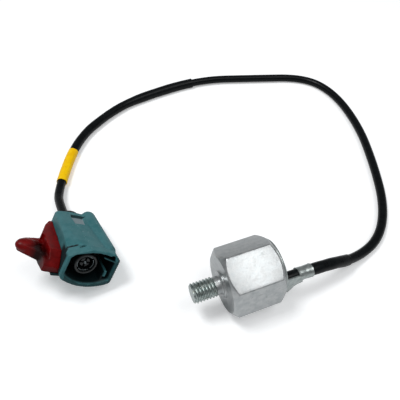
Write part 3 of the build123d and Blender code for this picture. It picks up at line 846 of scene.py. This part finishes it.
def hood_depth_shade(point):
    """Painted shade, 0 to 1: deep in hood and rail, on the rim's face, in groove and slot, behind
    the lock.
    """
    x, y, z = point
    in_groove = -6.0 < x < -4.4 and y < -5.6
    # The slanted corner's outer skin gets no painted shade, except in the groove.
    if x < -0.6 and y < 0.0 and z > 2.0 and above_slant(point) > -0.27:
        return 0.9 if in_groove and above_slant(point) < -0.1 else 0.0
    bow = max(0.0, 1.0 - ((y - 0.15) / 9.3) ** 2)
    taper = max(0.0, -x) * 0.046
    in_hood = (abs(y - 0.15) < 9.25 - taper
               and -5.05 + taper - 3.0 * bow < z < 5.05 - taper + 1.8 * bow)
    in_rail = math.hypot(y - 7.0, z - 5.1) < 1.8 and x > -8.0
    on_rib = abs(y - 6.85) < 0.75 and -1.45 < z < -0.7
    # Painted shade grows with depth into the hood and the rail; the rib's top gets less, so it
    # reads as lit.
    if x > -13.6 and (in_hood or in_rail):
        return held((-x - 0.1) / 1.1) * (0.3 if on_rib else 1.0)
    # Painted shade on the rim's front face, darker towards its bottom and right side, lighter on
    # the lock's side.
    if x > -0.6:
        low, right = held((1.5 - z) / 5.0), held((y - 7.0) / 3.0)
        return 0.7 * max(low, right) * (0.3 if y < -8.8 else 1.0)
    # Painted shade in the groove.
    if in_groove and y > -11.0 and z > 2.0:
        return 0.9
    # Painted shadow on the side wall behind the lock's bar.
    behind_lock = y < -9.2 and -10.5 < x < -1.7 and z < 3.4
    if behind_lock:
        return 0.92 * held((x + 10.5) / 2.0) * min(1.0, (3.4 - z) / 0.6)
    # Painted shadow in the rear slot.
    in_rear_slot = -28.6 < x < -27.1 and -3.2 < y < 3.0 and z < 5.6
    return 0.8 if in_rear_slot else 0.0


def window_floor(point):
    """Where a point lies on the floor of the window in the plug's top."""
    x, y, z = point
    return 1.0 if -27.1 < x < -20.9 and -3.2 < y < 2.0 and 4.8 < z < 5.35 else 0.0


window = block(-24.6, -0.6, 5.75, (6.6, 4.8, 1.43))
rear_slot = block(-28.0, 0.6, 5.8, (0.8, 5.3, 1.6))
lock_side_slant = block(-15.4, -8.66, 6.68, (32.4, 14.0, 3.0), 25.9)
groove = block(-5.2, -8.47, 5.28, (0.8, 5.0, 1.2), 25.9)
rail_side_slant = block(-2.2, 10.06, 7.12, (5.6, 8.0, 3.0), -41.3)
rail_hollow = pin_tool(-3.0, 7.0, 5.1, 1.4, 9.0)
wide_mouth = funnel(0.3, rim_outline, -1.4, throat_outline)
rail_web = block(-4.5, 6.4, 4.1, (8.0, 5.4, 0.5), -14.0)
key_rib = block(-5.9, 6.85, -2.3, (11.2, 1.0, 2.6))
plug_shell = moulded(
    "plug_shell", "plug_housing", plug_plastic, voxel=0.26, relax=2,
    cuts=[window, rear_slot, lock_side_slant, groove, rail_side_slant, rail_hollow, wide_mouth],
    extras=[rail_web, key_rib], marks={"painted_shade": hood_depth_shade, "pale": window_floor})

# %% [markdown]
# The lock is one red moulding: a bar along the plug's side with a lobe at the rear, a
# tongue that sticks out to a rounded pad, and a foot. A slot deepens the pocket between
# the tongue and the bar, and painted shade darkens that pocket and the lock's underside.

# %% Side lock
def lock_depth_shade(point):
    """Painted shade, 0 to 1, in the pocket between the lock's tongue and its bar, and under the
    lock.
    """
    near = math.hypot((point.x + 11.5) / 5.4, (point.y + 16.6) / 2.8)
    low = held((-0.4 - point.z) / 2.0)
    # Painted shade under the lock, at half strength.
    under = held((-4.6 - point.z) / 1.6) * 0.5
    return max(held(1.6 - near) * low, under)


pocket = block(-13.2, -15.4, -2.2, (5.2, 1.6, 3.4))
tongue_pad = ball(-15.6, -20.4, -4.0, (3.2, 4.6, 2.7))
side_clip = moulded(
    "side_clip", "side_lock", lock_plastic, voxel=0.18, relax=9,
    cuts=[pocket], extras=[tongue_pad], marks={"painted_shade": lock_depth_shade})

# %% [markdown]
# Inside the hood a black carrier holds the round contact: a slotted metal sleeve, an
# insulator with four flutes, and the pin in the middle.

# %% Carrier and contacts
carrier_nose = moulded("carrier_nose", "contact_carrier", carrier_plastic,
                       voxel=0.16, relax=3)
sleeve_contact = moulded("sleeve_contact", "contact_shell", contact_metal,
                         voxel=0.09, relax=2)
fluted_insulator = moulded("fluted_insulator", "contact_insulator", carrier_plastic,
                           voxel=0.1, relax=3)
plug_cap = moulded("plug_cap", "rear_cap", carrier_plastic,
                   voxel=0.16, relax=4)

# %% [markdown]
# ## What stays as CAD
# The small seals, the middle contact, the wire and everything inside the body already
# have their right shape, so they keep their CAD meshes and only get their finishes.

# %% Finishes of the CAD nodes
kept = {
    "vibration_plate": (spring_steel, "spring_steel"),
    "piezo_disc": (ceramic, "ceramic"),
    "contact_lead": (contact_metal, "contact_metal"),
    "terminal_base": (resin, "insulating_resin"),
    "terminal_pin": (contact_metal, "contact_metal"),
    "base_seal_ring": (seal_rubber, "seal_rubber"),
    "load_resistor": (ceramic, "ceramic"),
    "potting": (resin, "insulating_resin"),
    "wire_grommet": (seal_rubber, "seal_rubber"),
    "signal_wire": (cable_rubber, "cable_rubber"),
    "centre_contact": (contact_metal, "contact_metal"),
    "hood_seal": (seal_rubber, "seal_rubber"),
    "rear_seal": (seal_rubber, "seal_rubber"),
}
for node, (material, slot) in kept.items():
    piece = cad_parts[node]
    piece.data.materials.clear()
    piece.data.materials.append(material)
print("kept", len(kept), "CAD nodes")

# %% [markdown]
# ## Table and light
# The photograph has a white table and soft light from above. Here two square soft lights
# make it. The stronger one stands high on the left, and its shadows fall to the right.
# The weaker one stands high on the right in front, and lights the sides that face the
# camera. The table adds a little light of its own to what the camera sees, so it is
# white, and it keeps its shadows.

# %% Table
table_mesh = bpy.data.meshes.new("table")
bm = bmesh.new()
bmesh.ops.create_grid(bm, x_segments=1, y_segments=1, size=3.0)
bm.to_mesh(table_mesh)
bm.free()
table = bpy.data.objects.new("table", table_mesh)
scene.collection.objects.link(table)
white = bpy.data.materials.new("table_white")
white.use_nodes = True
tree = white.node_tree
tree.nodes.clear()
matt = add_node(tree, "ShaderNodeBsdfDiffuse", {"Color": (0.86, 0.87, 0.88, 1.0)})
glow = add_node(tree, "ShaderNodeEmission", {"Color": (1, 1, 1, 1), "Strength": 0.3})
seen = add_node(tree, "ShaderNodeLightPath").outputs["Is Camera Ray"]
none = add_node(tree, "ShaderNodeEmission", {"Strength": 0.0})
lift = add_node(tree, "ShaderNodeMixShader", {0: seen, 1: none.outputs[0], 2: glow.outputs[0]})
both = add_node(tree, "ShaderNodeAddShader", {0: matt.outputs[0], 1: lift.outputs[0]})
out = add_node(tree, "ShaderNodeOutputMaterial", {"Surface": both.outputs[0]})
table_mesh.materials.append(white)

# %% Lights
table_middle = Vector((0.01, 0.05, 0.0))


def softbox(name, direction, distance, size, power):
    """Square soft light that faces the middle of the table from a direction."""
    light = bpy.data.lights.new(name, "AREA")
    light.shape, light.size, light.energy = "SQUARE", size, power
    lamp = bpy.data.objects.new(name, light)
    way = Vector(direction).normalized()
    lamp.location = table_middle + way * distance
    lamp.rotation_mode = "QUATERNION"
    lamp.rotation_quaternion = way.to_track_quat("Z", "Y")
    scene.collection.objects.link(lamp)


softbox("overhead", (0.29, -0.33, 0.9), distance=0.7, size=0.34, power=1.14)
softbox("behind_left", (-0.34, 0.14, 1.0), distance=0.8, size=0.26, power=3.2)
world = bpy.data.worlds.new("room")
world.use_nodes = True
background = world.node_tree.nodes["Background"]
background.inputs["Color"].default_value = (0.96, 0.98, 1.0, 1.0)
background.inputs["Strength"].default_value = 0.3
scene.world = world
scene.view_settings.view_transform = "Standard"
